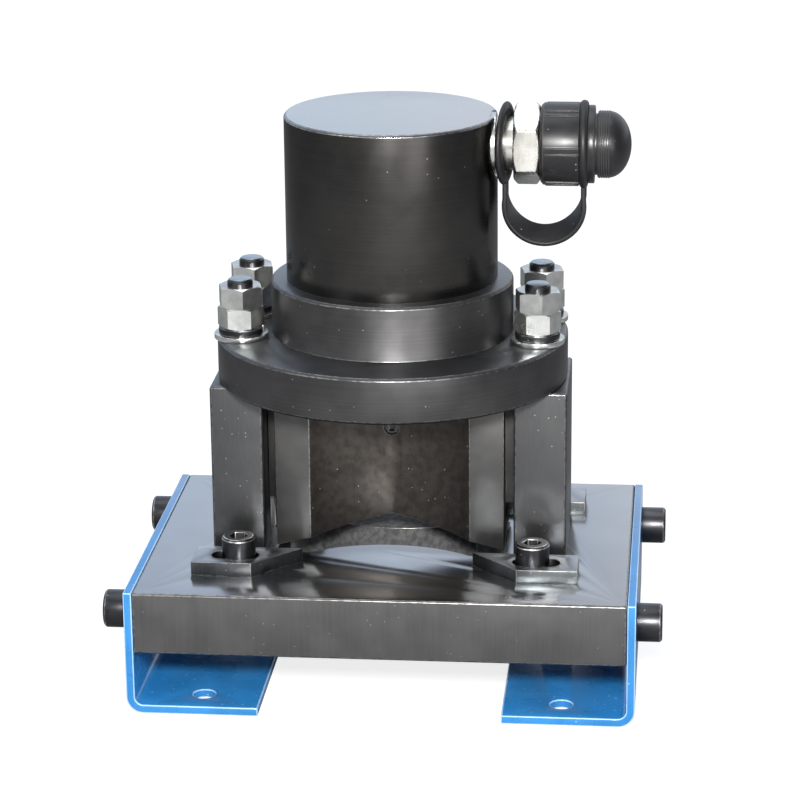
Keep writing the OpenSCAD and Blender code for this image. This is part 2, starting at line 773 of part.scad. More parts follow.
// One fence on the base plate: a flat bar with a 45 degree edge and a slot along X
module fence(sx, sy) {
  run_x = (slot_len - slot_w) / 2;
  color([0.3, 0.31, 0.32]) translate([0, 0, top_z]) scale([sx, sy, 1]) difference() {
    linear_extrude(fence_t) polygon([
      [fence_tip_x, fence_y], [fence_tip_x + fence_d, fence_y + fence_d],
      [fence_end_x, fence_y + fence_d], [fence_end_x, fence_y]
    ]);
    translate([slot_x, fence_mid_y, -over]) {
      for (s = [-1, 1]) translate([s * run_x, 0, 0]) cylinder(d = slot_w, h = fence_t + 2 * over);
      translate([-run_x, -slot_w / 2, 0]) cube([2 * run_x, slot_w, fence_t + 2 * over]);
    }
  }
}

module front_left_fence() { fence(-1, -1); }
module front_right_fence() { fence(1, -1); }
module rear_left_fence() { fence(-1, 1); }
module rear_right_fence() { fence(1, 1); }

module fence_screws() {
  color([0.12, 0.11, 0.11]) at_fence_screws() translate([0, 0, fence_top])
    socket_screw(fence_screw_d, fence_head_d, fence_head_h, fence_t + fence_screw_grip,
      fence_socket_af, fence_socket_deep);
}

// Turns a profile of [radius, distance along X] about the axis of the port
module on_port_axis() {
  translate([0, 0, port_z]) rotate([0, 90, 0]) children();
}

module bonded_seal() {
  color([0.75, 0.75, 0.72]) on_port_axis() translate([0, 0, spot_face_x])
    ring(seal_washer_d, port_d + 2 * fit, seal_washer_t);
}

// Quick coupler: shank, neck, hexagon, threaded end and nose, hollow for its valve
module coupler_body() {
  across = hex_af / cos(30);
  shank_x = seal_x - port_deep;
  cut = (across - hex_af) / 2 * tan(30);
  color([0.8, 0.8, 0.78]) on_port_axis() difference() {
    union() {
      rotate_extrude() polygon([
        [0, shank_x], [port_d / 2 - small_bevel, shank_x], [port_d / 2, shank_x + small_bevel],
        [port_d / 2, seal_x], [neck_d / 2, seal_x], [neck_d / 2, hex_x], [0, hex_x]
      ]);
      intersection() {
        translate([0, 0, hex_x]) cylinder(d = across, h = hex_len, $fn = 6);
        rotate_extrude() polygon([
          [0, hex_x], [hex_af / 2, hex_x], [across / 2, hex_x + cut],
          [across / 2, tail_x - cut], [hex_af / 2, tail_x], [0, tail_x]
        ]);
      }
      rotate_extrude() polygon([
        [0, tail_x], [tail_d / 2, tail_x], [tail_d / 2, coupler_nose_x - small_bevel],
        [tail_d / 2 - small_bevel, coupler_nose_x], [coupler_nose_d / 2, coupler_nose_x],
        [coupler_nose_d / 2, coupler_end - small_bevel], [coupler_nose_d / 2 - small_bevel, coupler_end],
        [0, coupler_end]
      ]);
    }
    translate([0, 0, shank_x - over]) cylinder(d = oil_hole_d, h = chamber_x - shank_x + 2 * over);
    translate([0, 0, chamber_x]) cylinder(d = chamber_d, h = chamber_end - chamber_x);
    translate([0, 0, chamber_end - over]) cylinder(d = mouth_d, h = mouth_t + 2 * over);
  }
}

module coupler_poppet() {
  color([0.7, 0.7, 0.7]) on_port_axis() rotate_extrude() polygon([
    [0, poppet_x], [chamber_d / 2 - run, poppet_x], [chamber_d / 2 - run, poppet_x + poppet_head_len],
    [poppet_stem_d / 2, poppet_x + poppet_head_len], [poppet_stem_d / 2, coupler_end - small_bevel],
    [poppet_stem_d / 2 - small_bevel, coupler_end], [0, coupler_end]
  ]);
}

module poppet_spring() {
  color([0.6, 0.6, 0.6]) on_port_axis() translate([0, 0, chamber_x + fit])
    coil(chamber_d - 2 * poppet_wire - 2 * fit, poppet_wire, poppet_turns, poppet_x - chamber_x - 2 * fit);
}

// Moulded cap: ribbed skirt, strap groove, collar, waist and domed end
module dust_cap() {
  r = cap_d / 2;
  bore_end = coupler_nose_x + loose;
  dome = [for (a = [0:6:90]) [dome_d / 2 * cos(a), dome_turn + dome_len * sin(a)]];
  color([0.09, 0.09, 0.09]) on_port_axis() difference() {
    union() {
      rotate_extrude() polygon(concat([
        [0, cap_x], [r - cap_bevel, cap_x], [r, cap_x + cap_bevel], [r, groove_x],
        [r - strap_groove_deep, groove_x], [r - strap_groove_deep, collar_x],
        [collar_d / 2, collar_x], [collar_d / 2, waist_x], [waist_d / 2, waist_x],
        [waist_d / 2, dome_x], [dome_d / 2, dome_x]
      ], dome));
      for (i = [0:rib_pairs - 1]) for (s = [-1, 1]) rotate([0, 0, 90 + 360 * i / rib_pairs])
        translate([r - rib_h, s * (rib_gap + rib_w) / 2 - rib_w / 2, cap_x + rib_start])
          cube([2 * rib_h, rib_w, skirt_len - rib_start - fit]);
    }
    translate([0, 0, cap_x - over]) cylinder(d = tail_d + 2 * loose, h = bore_end - cap_x + over);
    translate([0, 0, bore_end - over]) cylinder(d = cap_inner_d, h = cap_inner_len + over);
  }
}

// Place and lean of the strap at a share of its loop, from 0 at the neck to 1 at the cap
function strap_place(s) = let (a = 180 * s) [loop_x - loop_r * cos(a), 0, loop_z - loop_r * sin(a)];
function strap_lean_at(s) = strap_lean * sin(180 * s);

// One moulded strap: a ring on the coupler's neck, a flat band in a U, and a ring on the cap
module cap_strap() {
  band = [for (i = [0:strap_steps]) let (s = i / strap_steps) [strap_place(s), 180 * s, strap_lean_at(s)]];
  path = concat([[[root_ring_x, 0, loop_top], 0, 0]], band, [[[cap_ring_x, 0, loop_top], 180, 0]]);
  rings = [for (p = path) let (
      out = [-cos(p[1]), 0, -sin(p[1])],
      across = [out[0] * -sin(p[2]), cos(p[2]), out[2] * -sin(p[2])],
      face = [out[0] * cos(p[2]), sin(p[2]), out[2] * cos(p[2])])
    [for (c = [[-1, -1], [1, -1], [1, 1], [-1, 1]])
      p[0] + c[0] * strap_w / 2 * across + c[1] * strap_t / 2 * face]];
  last = 4 * (len(path) - 1);
  points = [for (ring = rings) for (q = ring) q];
  sides = [for (i = [0:len(path) - 2]) for (k = [0:3])
    let (a = 4 * i + k, b = 4 * i + (k + 1) % 4) for (t = [[a, b + 4, a + 4], [a, b, b + 4]]) t];
  ends = [[0, 2, 1], [0, 3, 2], [last, last + 1, last + 2], [last, last + 2, last + 3]];
  color([0.1, 0.1, 0.1]) union() {
    polyhedron(points, concat(sides, ends));
    translate([root_ring_x, 0, port_z]) rotate([0, 0, root_ring_turn]) rotate([0, 90, 0])
      translate([0, 0, -root_ring_t / 2]) ring(root_ring_d, root_ring_bore, root_ring_t);
    on_port_axis() translate([0, 0, groove_x + fit])
      ring(cap_ring_d, cap_d - 2 * strap_groove_deep + 2 * fit, strap_groove_w - 2 * fit);
  }
}

base_plate();
left_bracket();
right_bracket();
bracket_bolts();
left_column();
right_column();
column_dowels();
tie_studs();
flat_washers();
spring_washers();
lower_nuts();
upper_nuts();
flange();
barrel();
rod_bush();
rod_wiper();
spring_seat();
return_spring();
piston();
piston_seal();
backup_ring();
wear_ring();
piston_o_ring();
rod();
punch();
punch_lock_screw();
front_left_fence();
front_right_fence();
rear_left_fence();
rear_right_fence();
fence_screws();
bonded_seal();
coupler_body();
coupler_poppet();
poppet_spring();
dust_cap();
cap_strap();
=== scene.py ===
import math

import bmesh
import bpy
from mathutils import Matrix, Vector


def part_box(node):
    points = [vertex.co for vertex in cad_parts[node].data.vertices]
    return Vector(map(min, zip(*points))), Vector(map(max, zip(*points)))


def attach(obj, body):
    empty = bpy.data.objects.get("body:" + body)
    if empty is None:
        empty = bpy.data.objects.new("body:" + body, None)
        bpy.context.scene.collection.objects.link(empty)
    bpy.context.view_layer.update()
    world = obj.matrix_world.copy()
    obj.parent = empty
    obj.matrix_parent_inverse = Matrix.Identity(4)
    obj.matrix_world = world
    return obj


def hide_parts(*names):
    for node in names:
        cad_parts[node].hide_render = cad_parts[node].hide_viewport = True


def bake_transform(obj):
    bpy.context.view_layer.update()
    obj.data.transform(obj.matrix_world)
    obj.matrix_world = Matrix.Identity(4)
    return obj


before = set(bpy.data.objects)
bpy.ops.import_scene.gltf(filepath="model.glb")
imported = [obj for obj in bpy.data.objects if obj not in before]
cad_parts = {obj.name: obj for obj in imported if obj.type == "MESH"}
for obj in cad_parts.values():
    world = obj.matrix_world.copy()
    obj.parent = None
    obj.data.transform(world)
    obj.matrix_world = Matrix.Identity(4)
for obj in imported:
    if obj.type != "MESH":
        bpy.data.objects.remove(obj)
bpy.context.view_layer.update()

mm = 0.001

# Camera: a long lens, a little to the right of the front and a little above the cutter,
# with the photograph's slight roll. It looks at the middle of the columns.
camera_azimuth = math.radians(5.63)
camera_height_angle = math.radians(17.66)
camera_roll = math.radians(-0.56)
camera_target = Vector((3.09 * mm, 0, 129.8 * mm))
camera_distance = 1429.77 * mm

level_right = Vector((math.cos(camera_azimuth), math.sin(camera_azimuth), 0))
towards_camera = Vector((
    math.sin(camera_azimuth) * math.cos(camera_height_angle),
    -math.cos(camera_azimuth) * math.cos(camera_height_angle),
    math.sin(camera_height_angle),
))
level_up = towards_camera.cross(level_right)
camera_right = math.cos(camera_roll) * level_right + math.sin(camera_roll) * level_up
camera_up = math.cos(camera_roll) * level_up - math.sin(camera_roll) * level_right
camera = bpy.data.objects.new("camera", bpy.data.cameras.new("camera"))
camera.data.sensor_width = 36
camera.data.lens = 133.94
camera.data.clip_start = 0.05
camera.matrix_world = (
    Matrix.Translation(camera_target + camera_distance * towards_camera)
    @ Matrix((camera_right, camera_up, towards_camera)).transposed().to_4x4()
)
bpy.context.collection.objects.link(camera)
bpy.context.scene.camera = camera
bpy.context.scene.view_settings.view_transform = "Standard"


# Studio: a plain pale floor under a white sky. The sky is bright and a little blue behind the
# cutter and greyer in front of it. A small key light over the camera throws the flange's shadow.
def put(tree, kind, inputs=None, **settings):
    """Adds a node; each of its inputs takes a value or another node's output."""
    made = tree.nodes.new(kind)
    for name, value in settings.items():
        setattr(made, name, value)
    for name, value in (inputs or {}).items():
        if isinstance(value, bpy.types.NodeSocket):
            tree.links.new(value, made.inputs[name])
        else:
            made.inputs[name].default_value = value
    return made


def soft_step(tree, value, low, high):
    """0 below low, 1 above high, smooth between."""
    return put(tree, "ShaderNodeMapRange", {
        "Value": value, "From Min": low, "From Max": high}, interpolation_type="SMOOTHSTEP").outputs[0]


def blended(tree, mask, first, second):
    """The first colour where the mask is 0, the second where it is 1."""
    made = tree.nodes.new("ShaderNodeMix")
    made.data_type = "RGBA"
    for place, value in ((0, mask), (6, first), (7, second)):
        if isinstance(value, bpy.types.NodeSocket):
            tree.links.new(value, made.inputs[place])
        else:
            made.inputs[place].default_value = value
    return made.outputs[2]


def sums(tree, operation, first, second):
    """One arithmetic step between two values, such as their sum or product."""
    return put(tree, "ShaderNodeMath", {0: first, 1: second}, operation=operation).outputs[0]


def sky():
    world = bpy.data.worlds.new("studio")
    world.use_nodes = True
    tree = world.node_tree
    tree.nodes.clear()
    direction = put(tree, "ShaderNodeSeparateXYZ", {
        0: put(tree, "ShaderNodeTexCoord").outputs["Generated"]})
    behind = soft_step(tree, direction.outputs["Y"], 0.0, 0.75)
    leftward = soft_step(tree, direction.outputs["X"], 0.35, -0.35)
    far_sky = blended(tree, leftward, (0.93, 0.95, 1.0, 1), (0.70, 0.82, 1.0, 1))
    right_hand = soft_step(tree, direction.outputs["X"], 0.25, 0.85)
    near_sky = blended(tree, right_hand, (0.52, 0.52, 0.53, 1), (0.20, 0.20, 0.21, 1))
    gleam = blended(tree, behind, near_sky, far_sky)
    path = put(tree, "ShaderNodeLightPath")
    lit = blended(tree, path.outputs["Is Glossy Ray"], (0.42, 0.43, 0.45, 1), gleam)
    seen = blended(tree, path.outputs["Is Camera Ray"], lit, (1, 1, 1, 1))
    background = put(tree, "ShaderNodeBackground", {"Color": seen, "Strength": 1.0})
    output = put(tree, "ShaderNodeOutputWorld", {"Surface": background.outputs[0]})
    output.is_active_output = True
    bpy.context.scene.world = world


def pale_floor():
    bpy.ops.object.select_all(action="DESELECT")
    bpy.ops.mesh.primitive_plane_add(size=24)
    floor = bpy.context.object
    floor.name = "studio_floor"
    material = bpy.data.materials.new("pale_floor")
    material.use_nodes = True
    tree = material.node_tree
    shader = tree.nodes["Principled BSDF"]
    shader.inputs["Base Color"].default_value = (0.34, 0.34, 0.345, 1)
    shader.inputs["Roughness"].default_value = 0.85
    path = put(tree, "ShaderNodeLightPath")
    tree.links.new(path.outputs["Is Camera Ray"], shader.inputs["Emission Strength"])
    shader.inputs["Emission Color"].default_value = (0.80, 0.80, 0.80, 1)
    floor.data.materials.append(material)


def softbox(name, place, size, watts, colour):
    lamp = bpy.data.lights.new(name, "AREA")
    lamp.shape = "RECTANGLE"
    lamp.size, lamp.size_y = size
    lamp.energy = watts
    lamp.color = colour
    holder = bpy.data.objects.new(name, lamp)
    holder.location = place
    aim = camera_target - Vector(place)
    holder.rotation_euler = aim.to_track_quat("-Z", "Y").to_euler()
    bpy.context.collection.objects.link(holder)


sky()
pale_floor()
softbox("key_light", (0.10, -1.05, 0.59), (0.12, 0.12), 15, (1.0, 0.99, 0.97))
softbox("left_softbox", (-1.5, -1.3, 1.5), (0.9, 1.4), 9, (1.0, 1.0, 1.0))
softbox("right_softbox", (0.95, -1.5, 0.55), (0.7, 1.2), 7, (1.0, 0.99, 0.97))
softbox("top_softbox", (-0.2, 0.2, 2.2), (1.6, 1.6), 12, (0.95, 0.98, 1.0))


# Base plate: a thick slab of machined steel with the die opening through it, darkened and oiled.
# Its sides keep upright grinding streaks, its top is polished with a painted pale sky reflection at low
# angles, and its worn edges are bright.
def group(name, inputs, output):
    """Starts a shared effect; returns its tree, its inputs and the socket that it gives out."""
    tree = bpy.data.node_groups.new(name, "ShaderNodeTree")
    for label, value in inputs.items():
        kind = "NodeSocketVector" if isinstance(value, tuple) else "NodeSocketFloat"
        tree.interface.new_socket(label, in_out="INPUT", socket_type=kind).default_value = value
    tree.interface.new_socket(output, in_out="OUTPUT", socket_type="NodeSocketFloat")
    given = tree.nodes.new("NodeGroupInput")
    return tree, given.outputs, tree.nodes.new("NodeGroupOutput").inputs[0]


def make_dust():
    """White specks of dust and chips, one in each cell that chance picks."""
    tree, given, result = group("dust_specks", {"Per Metre": 620.0, "Share": 0.1}, "Mask")
    place = put(tree, "ShaderNodeTexCoord").outputs["Object"]
    cells = put(tree, "ShaderNodeTexVoronoi", {"Vector": place, "Scale": given["Per Metre"]})
    near = soft_step(tree, cells.outputs["Distance"], 0.24, 0.12)
    pick = put(tree, "ShaderNodeSeparateXYZ", {0: cells.outputs["Color"]}).outputs["X"]
    chosen = put(tree, "ShaderNodeMath", {0: pick, 1: given["Share"]}, operation="LESS_THAN").outputs[0]
    tree.links.new(sums(tree, "MULTIPLY", near, chosen), result)
    return tree


def make_streaks():
    """Fine parallel tool lines: noise drawn out along the axes with a small stretch value."""
    tree, given, result = group("tool_streaks", {"Stretch": (1.0, 1.0, 1.0)}, "Height")
    place = put(tree, "ShaderNodeTexCoord").outputs["Object"]
    drawn = put(tree, "ShaderNodeVectorMath", {0: place, 1: given["Stretch"]}, operation="MULTIPLY")
    lines = put(tree, "ShaderNodeTexNoise", {"Vector": drawn.outputs[0], "Scale": 1.0, "Detail": 3.0})
    tree.links.new(lines.outputs[0], result)
    return tree


def make_lathe_lines():
    """Turning marks round the upright axis: rings on flat ends, level lines on round sides."""
    tree, given, result = group("lathe_lines", {"Lines Per Metre": 1800.0}, "Height")
    place = put(tree, "ShaderNodeTexCoord").outputs["Object"]
    parts = put(tree, "ShaderNodeSeparateXYZ", {0: place})
    plan = put(tree, "ShaderNodeVectorMath", {0: place, 1: (1.0, 1.0, 0.0)}, operation="MULTIPLY")
    radius = put(tree, "ShaderNodeVectorMath", {0: plan.outputs[0]}, operation="LENGTH")
    along = sums(tree, "ADD", radius.outputs["Value"], parts.outputs["Z"])
    lines = put(tree, "ShaderNodeTexNoise", {
        "W": sums(tree, "MULTIPLY", along, given["Lines Per Metre"]), "Scale": 1.0, "Detail": 2.0},
        noise_dimensions="1D")
    tree.links.new(lines.outputs[0], result)
    return tree


dust_specks, tool_streaks, lathe_lines = make_dust(), make_streaks(), make_lathe_lines()


def steel(name, dark, light, rough, lines=None, line_depth=0.1, gleam=None, dust=0.05, patch=45.0):
    """Worked steel: two tones in patches, tool lines, dust, and a gleam at low angles on flat tops,
    painted into the colour as a sky reflection.
    """
    material = bpy.data.materials.new(name)
    material.use_nodes = True
    tree = material.node_tree
    shader = tree.nodes["Principled BSDF"]
    place = put(tree, "ShaderNodeTexCoord").outputs["Object"]
    clouds = put(tree, "ShaderNodeTexNoise", {"Vector": place, "Scale": patch, "Detail": 4.0})
    grain = put(tree, "ShaderNodeTexNoise", {"Vector": place, "Scale": 1500.0, "Detail": 2.0})
    tone = blended(tree, soft_step(tree, clouds.outputs[0], 0.35, 0.65), (*dark, 1), (*light, 1))
    height = grain.outputs[0]
    if lines is not None:
        height = put(tree, "ShaderNodeGroup", node_tree=lines[0])
        for label, value in lines[1].items():
            height.inputs[label].default_value = value
        height = height.outputs[0]
        streak = soft_step(tree, height, 0.40, 0.66)
        tone = blended(tree, sums(tree, "MULTIPLY", streak, 0.12), tone, (*(1.5 * c for c in light), 1))
    # Painted sky reflection: on upward faces seen at low angles the colour turns towards the given pale
    # tone.
    if gleam is not None:
        facing = put(tree, "ShaderNodeLayerWeight", {"Blend": 0.5}).outputs["Facing"]
        upward = put(tree, "ShaderNodeSeparateXYZ", {
            0: put(tree, "ShaderNodeNewGeometry").outputs["Normal"]}).outputs["Z"]
        painted_sky_reflection_mask = sums(
            tree, "MULTIPLY", sums(tree, "POWER", facing, gleam[1]), soft_step(tree, upward, 0.55, 0.9))
        tone = blended(tree, painted_sky_reflection_mask, tone, (*gleam[0], 1))
    specks = put(tree, "ShaderNodeGroup", node_tree=dust_specks)
    specks.inputs["Share"].default_value = dust
    tone = blended(tree, specks.outputs[0], tone, (0.5, 0.5, 0.49, 1))
    tree.links.new(tone, shader.inputs["Base Color"])
    shader.inputs["Metallic"].default_value = 1.0
    shader.inputs["Specular Tint"].default_value = (0.72, 0.72, 0.72, 1)
    smear = put(tree, "ShaderNodeTexNoise", {"Vector": place, "Scale": 90.0, "Detail": 5.0})
    dull = put(tree, "ShaderNodeMapRange", {
        "Value": smear.outputs[0], "From Min": 0.2, "From Max": 0.8,
        "To Min": rough[0], "To Max": rough[1]})
    tree.links.new(dull.outputs[0], shader.inputs["Roughness"])
    bump = put(tree, "ShaderNodeBump", {"Strength": line_depth, "Distance": 0.1 * mm, "Height": height})
    tree.links.new(bump.outputs[0], shader.inputs["Normal"])
    return material


def worn_edge(name, tone, rough=0.3):
    """The bright line along a rubbed edge, broken up where the dark finish is left."""
    material = bpy.data.materials.new(name)
    material.use_nodes = True
    tree = material.node_tree
    shader = tree.nodes["Principled BSDF"]
    place = put(tree, "ShaderNodeTexCoord").outputs["Object"]
    chips = put(tree, "ShaderNodeTexNoise", {"Vector": place, "Scale": 420.0, "Detail": 5.0})
    rubbed = soft_step(tree, chips.outputs[0], 0.40, 0.56)
    dark = tuple(0.5 * c for c in tone)
    tree.links.new(blended(tree, rubbed, (*dark, 1), (*tone, 1)), shader.inputs["Base Color"])
    shader.inputs["Metallic"].default_value = 1.0
    shader.inputs["Roughness"].default_value = rough
    return material


def with_soft_edges(node, body, finish, edge_finish, width, steps=2):
    """Copies a machined node, breaks its sharp edges and lets the copy stand for it."""
    piece = bpy.data.objects.new(node + "_finished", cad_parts[node].data.copy())
    bpy.context.collection.objects.link(piece)
    bpy.ops.object.select_all(action="DESELECT")
    piece.select_set(True)
    bpy.context.view_layer.objects.active = piece
    bpy.ops.mesh.customdata_custom_splitnormals_clear()
    shape = bmesh.new()
    shape.from_mesh(piece.data)
    bmesh.ops.remove_doubles(shape, verts=shape.verts, dist=0.003 * mm)
    bmesh.ops.dissolve_limit(
        shape, angle_limit=math.radians(0.4), verts=shape.verts, edges=shape.edges)
    shape.to_mesh(piece.data)
    shape.free()
    piece.data.materials.clear()
    piece.data.materials.append(finish)
    piece.data.materials.append(edge_finish)
    for face in piece.data.polygons:
        face.material_index = 0
    bevel = piece.modifiers.new("broken_edges", "BEVEL")
    bevel.width = width
    bevel.segments = steps
    bevel.limit_method = "ANGLE"
    bevel.angle_limit = math.radians(32)
    bevel.use_clamp_overlap = False
    bevel.material = 1
    bpy.ops.object.modifier_apply(modifier=bevel.name)
    bpy.ops.object.shade_smooth_by_angle(angle=math.radians(34))
    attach(piece, body)
    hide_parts(node)


def scuff_behind_die(material):
    """Behind the cutting edge the top and the walls of the die opening are dull grey and mottled."""
    tree = material.node_tree
    shader = tree.nodes["Principled BSDF"]
    place = put(tree, "ShaderNodeTexCoord").outputs["Object"]
    parts = put(tree, "ShaderNodeSeparateXYZ", {0: place})
    sideways = put(tree, "ShaderNodeMath", {0: parts.outputs["X"]}, operation="ABSOLUTE").outputs[0]
    depth = sums(tree, "MULTIPLY", soft_step(tree, parts.outputs["Y"], -12 * mm, -6 * mm),
                 soft_step(tree, parts.outputs["Y"], 50 * mm, 36 * mm))
    within = sums(tree, "MULTIPLY", soft_step(tree, sideways, 54 * mm, 46 * mm), depth)
    mottle = put(tree, "ShaderNodeTexNoise", {"Vector": place, "Scale": 380.0, "Detail": 6.0})
    scuffed = blended(tree, soft_step(tree, mottle.outputs[0], 0.34, 0.66),
                      (0.075, 0.075, 0.08, 1), (0.135, 0.135, 0.135, 1))
    for socket, value in (("Base Color", scuffed), ("Roughness", (0.6, 0.6, 0.6, 1))):
        plain = shader.inputs[socket].links[0].from_socket
        tree.links.new(blended(tree, within, plain, value), shader.inputs[socket])
    tree.links.new(sums(tree, "SUBTRACT", 1.0, within), shader.inputs["Metallic"])
    shader.inputs["Specular IOR Level"].default_value = 0.2


base_finish = steel(
    "ground_base", (0.185, 0.182, 0.183), (0.225, 0.222, 0.222), (0.17, 0.26),
    lines=(tool_streaks, {"Stretch": (1500.0, 1500.0, 40.0)}), line_depth=0.05,
    gleam=((0.92, 0.96, 1.0), 1.6), dust=0.04)
scuff_behind_die(base_finish)
base_edge = worn_edge("worn_base_edge", (0.30, 0.295, 0.29), 0.36)
with_soft_edges("base_plate", "frame", base_finish, base_edge, 0.25 * mm)


# Foot brackets: two angles bent from 4 mm sheet and painted bright blue. Each is bolted to a side
# of the base plate, and its foot, drilled for the bench bolts, is turned inwards.
def blue_gloss(name, tone, chip_share):
    material = bpy.data.materials.new(name)
    material.use_nodes = True
    tree = material.node_tree
    shader = tree.nodes["Principled BSDF"]
    place = put(tree, "ShaderNodeTexCoord").outputs["Object"]
    clouds = put(tree, "ShaderNodeTexNoise", {"Vector": place, "Scale": 30.0, "Detail": 3.0})
    lighter = tuple(min(1.0, 1.25 * c + 0.01) for c in tone)
    colour = blended(tree, soft_step(tree, clouds.outputs[0], 0.3, 0.7), (*tone, 1), (*lighter, 1))
    specks = put(tree, "ShaderNodeGroup", node_tree=dust_specks)
    specks.inputs["Share"].default_value = chip_share
    colour = blended(tree, specks.outputs[0], colour, (0.55, 0.66, 0.78, 1))
    tree.links.new(colour, shader.inputs["Base Color"])
    smear = put(tree, "ShaderNodeTexNoise", {"Vector": place, "Scale": 60.0, "Detail": 4.0})
    dull = put(tree, "ShaderNodeMapRange", {
        "Value": smear.outputs[0], "From Min": 0.3, "From Max": 0.7, "To Min": 0.2, "To Max": 0.38})
    tree.links.new(dull.outputs[0], shader.inputs["Roughness"])
    shader.inputs["Coat Weight"].default_value = 0.5
    shader.inputs["Coat Roughness"].default_value = 0.12
    peel = put(tree, "ShaderNodeTexNoise", {"Vector": place, "Scale": 520.0, "Detail": 1.0})
    bump = put(tree, "ShaderNodeBump", {
        "Strength": 0.12, "Distance": 0.15 * mm, "Height": peel.outputs[0]})
    tree.links.new(bump.outputs[0], shader.inputs["Normal"])
    return material


paint = blue_gloss("blue_paint", (0.020, 0.185, 0.47), 0.05)
# The bevelled edges take a lighter blue as a painted highlight; their paler chips are wear.
paint_edge_painted_highlight = blue_gloss("blue_paint_edge_painted_highlight", (0.32, 0.52, 0.78), 0.2)
for bracket_node in ("left_bracket", "right_bracket"):
    with_soft_edges(bracket_node, "frame", paint, paint_edge_painted_highlight, 0.5 * mm, steps=3)


# Bracket bolts: four M12 socket-head bolts in black oxide, two through each bracket into the
# base plate. The rims of their heads are rubbed bright.
# The bolts' gleam is a painted sky reflection on their tops at low angles.
bolt_finish = steel(
    "black_bolt", (0.045, 0.045, 0.05), (0.075, 0.075, 0.08), (0.26, 0.40),
    lines=(tool_streaks, {"Stretch": (60.0, 900.0, 900.0)}), line_depth=0.05,
    gleam=((0.45, 0.46, 0.48), 3.0), dust=0.04)
bolt_edge = worn_edge("worn_bolt_edge", (0.30, 0.30, 0.31))
with_soft_edges("bracket_bolts", "frame", bolt_finish, bolt_edge, 0.4 * mm, steps=3)


# Columns: two upright blocks of darkened steel on the base plate, each with a guide groove for the
# punch. They carry small scratches and specks, and their long edges are rubbed.
# The columns' gleam is a painted sky reflection on their tops at low angles.
column_finish = steel(
    "dark_column", (0.118, 0.120, 0.123), (0.132, 0.133, 0.136), (0.36, 0.41),
    lines=(tool_streaks, {"Stretch": (900.0, 900.0, 120.0)}), line_depth=0.03,
    gleam=((0.5, 0.52, 0.55), 3.5), dust=0.06)
column_edge = worn_edge("worn_column_edge", (0.22, 0.22, 0.22), 0.38)
for column_node in ("left_column", "right_column"):
    with_soft_edges(column_node, "frame", column_finish, column_edge, 0.3 * mm)


# Flange: a turned steel disc with a raised boss, standing on the columns. Blackened in one piece
# with fine turning marks.
# The flange's gleam is a painted sky reflection on its top at low angles.
flange_finish = steel(
    "turned_flange", (0.094, 0.092, 0.094), (0.118, 0.116, 0.118), (0.32, 0.38),
    lines=(lathe_lines, {"Lines Per Metre": 1100.0}), line_depth=0.05,
    gleam=((0.5, 0.53, 0.56), 3.2), dust=0.025)
flange_edge = worn_edge("worn_flange_edge", (0.20, 0.20, 0.20), 0.34)
with_soft_edges("flange", "frame", flange_finish, flange_edge, 0.35 * mm)


# Cylinder barrel: turned from bar, closed at the top, screwed into the flange and blackened to a
# deep satin. Its polished top mirrors the sky, and a near-white painted sky reflection lightens it at
# low angles.
barrel_finish = steel(
    "turned_barrel", (0.066, 0.063, 0.061), (0.080, 0.077, 0.074), (0.26, 0.31),
    lines=(lathe_lines, {"Lines Per Metre": 700.0}), line_depth=0.02,
    gleam=((0.98, 1.0, 1.0), 0.9), dust=0.008)
barrel_edge = worn_edge("worn_barrel_edge", (0.34, 0.35, 0.36), 0.25)
with_soft_edges("barrel", "frame", barrel_finish, barrel_edge, 0.3 * mm)


# Punch: the moving blade, milled and heat-treated. Its concave cutting faces keep a brown scale,
# and the shoulders beside them are ground grey with bright upright edges.
def punch_steel():
    material = steel(
        "punch_scale", (0.062, 0.055, 0.049), (0.086, 0.077, 0.070), (0.44, 0.52),
        lines=(tool_streaks, {"Stretch": (900.0, 900.0, 260.0)}), line_depth=0.35,
        dust=0.04, patch=240.0)
    tree = material.node_tree
    shader = tree.nodes["Principled BSDF"]
    scale_tone = shader.inputs["Base Color"].links[0].from_socket
    place = put(tree, "ShaderNodeTexCoord").outputs["Object"]
    across = put(tree, "ShaderNodeSeparateXYZ", {0: place}).outputs["X"]
    sideways = put(tree, "ShaderNodeMath", {0: across}, operation="ABSOLUTE").outputs[0]
    face_half_width = 38.2 * mm
    on_shoulder = sums(tree, "GREATER_THAN", sideways, face_half_width)
    ground = blended(tree, soft_step(tree, put(
        tree, "ShaderNodeTexNoise", {"Vector": place, "Scale": 60.0}).outputs[0], 0.3, 0.7),
        (0.10, 0.10, 0.10, 1), (0.135, 0.133, 0.13, 1))
    tree.links.new(blended(tree, on_shoulder, scale_tone, ground), shader.inputs["Base Color"])
    return material


punch_edge = worn_edge("worn_punch_edge", (0.30, 0.295, 0.28), 0.36)
with_soft_edges("punch", "ram", punch_steel(), punch_edge, 0.25 * mm)
with_soft_edges("punch_lock_screw", "ram", bolt_finish, bolt_edge, 0.2 * mm)


